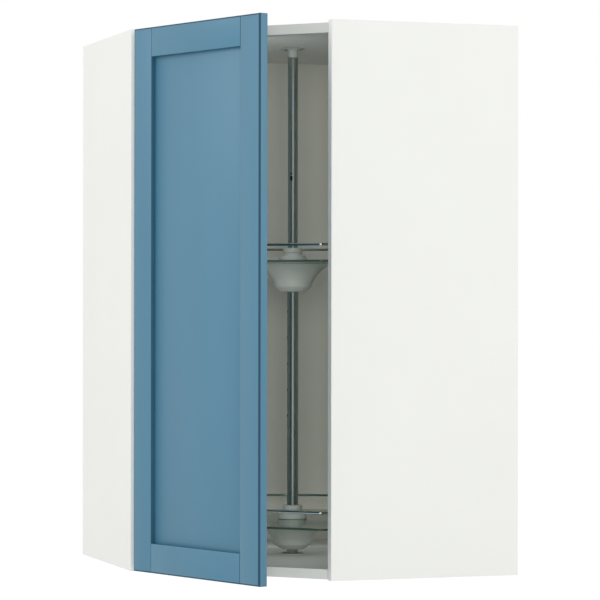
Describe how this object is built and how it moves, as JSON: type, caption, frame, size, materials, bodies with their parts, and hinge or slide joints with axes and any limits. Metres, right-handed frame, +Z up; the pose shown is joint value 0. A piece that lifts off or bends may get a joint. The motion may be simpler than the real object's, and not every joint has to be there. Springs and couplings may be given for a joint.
{
  "type": "corner carousel cabinet",
  "caption": "Tall corner wall cabinet with a diagonal hinged framed door and round glass trays turning on a central pole.",
  "frame": {"origin": "on the carousel's axis, level with the underside of the bottom panel", "axes": "+Z up, the diagonal front and its door face -Y, the corner of the room is towards +Y"},
  "size_m": [0.934, 0.8732, 1.016],
  "materials": {
    "white_board": "satin white melamine on board",
    "edge_band": "satin white edge band",
    "back_board": "matt white thin board",
    "blue_board": "satin grey-blue lacquer",
    "clear_plastic": "clear",
    "nickel": "nickel plated",
    "chrome": "polished chrome plate",
    "glass": "polished, slightly green",
    "dark_plastic": "matt",
    "grey_plastic": "satin light grey",
    "zinc": "zinc plated"
  },
  "bodies": {
    "cabinet": {"back_corner_angle": "zinc", "bottom_edge_band": "edge_band", "bottom_panel": "white_board", "ceiling_bracket_screw_1": "zinc", "ceiling_bracket_screw_2": "zinc", "floor_bracket_screw_1": "zinc", "floor_bracket_screw_2": "zinc", "left_back_panel": "back_board", "left_bracket_bolt": "zinc", "left_edge_band": "edge_band", "left_side_panel": "white_board", "left_wall_bracket": "zinc", "lower_bearing_ring": "dark_plastic", "lower_hinge_arm": "nickel", "lower_hinge_mount": "nickel", "lower_support_pin": "zinc", "middle_hinge_arm": "nickel", "middle_hinge_mount": "nickel", "pole_ceiling_bracket": "grey_plastic", "pole_floor_bracket": "dark_plastic", "pole_lower_tube": "chrome", "pole_upper_tube": "chrome", "right_back_panel": "back_board", "right_bracket_bolt": "zinc", "right_edge_band": "edge_band", "right_side_panel": "white_board", "right_wall_bracket": "zinc", "top_edge_band": "edge_band", "top_panel": "white_board", "upper_bearing_ring": "dark_plastic", "upper_hinge_arm": "nickel", "upper_hinge_mount": "nickel", "upper_support_pin": "zinc"},
    "hinge_outer_links": {"lower_hinge_outer_link": "nickel", "middle_hinge_outer_link": "nickel", "upper_hinge_outer_link": "nickel"},
    "door": {"door_bottom_rail": "blue_board", "door_centre_panel": "blue_board", "door_left_stile": "blue_board", "door_right_stile": "blue_board", "door_top_rail": "blue_board", "lower_door_bumper": "clear_plastic", "lower_hinge_cup": "nickel", "middle_hinge_cup": "nickel", "upper_door_bumper": "clear_plastic", "upper_hinge_cup": "nickel"},
    "hinge_inner_links": {"lower_hinge_inner_link": "nickel", "middle_hinge_inner_link": "nickel", "upper_hinge_inner_link": "nickel"},
    "upper_tray": {"upper_tray_funnel": "grey_plastic", "upper_tray_glass": "glass", "upper_tray_rail": "chrome", "upper_hub_flange": "grey_plastic", "upper_hub_collar": "grey_plastic"},
    "lower_tray": {"lower_tray_funnel": "grey_plastic", "lower_tray_glass": "glass", "lower_tray_rail": "chrome", "lower_hub_flange": "grey_plastic", "lower_hub_collar": "grey_plastic"}
  },
  "joints": [
    {"name": "outer_link_pivot", "type": "hinge", "parent": "cabinet", "child": "hinge_outer_links", "pos_m": [-0.19391, -0.24529, 0.5065], "axis": [0, 0, -1], "range_deg": [-13.53, 36.27]},
    {"name": "door_pivot", "type": "hinge", "parent": "hinge_outer_links", "child": "door", "pos_m": [-0.16654, -0.27269, 0.5065], "axis": [0, 0, -1], "range_deg": [-11.02, 29.38]},
    {"name": "inner_link_pivot", "type": "hinge", "parent": "cabinet", "child": "hinge_inner_links", "pos_m": [-0.20002, -0.23682, 0.5065], "axis": [0, 0, -1], "range_deg": [-8.49, 22.59]},
    {"name": "upper_tray_spin", "type": "hinge", "parent": "cabinet", "child": "upper_tray", "pos_m": [0, 0, 0.581], "axis": [0, 0, 1], "continuous": true},
    {"name": "lower_tray_spin", "type": "hinge", "parent": "cabinet", "child": "lower_tray", "pos_m": [0, 0, 0.0865], "axis": [0, 0, 1], "continuous": true}
  ],
  "couplings": [
    {"joint": "door_pivot", "follows": "outer_link_pivot", "ratio": 0.80734},
    {"joint": "inner_link_pivot", "follows": "outer_link_pivot", "ratio": 0.6201}
  ]
}
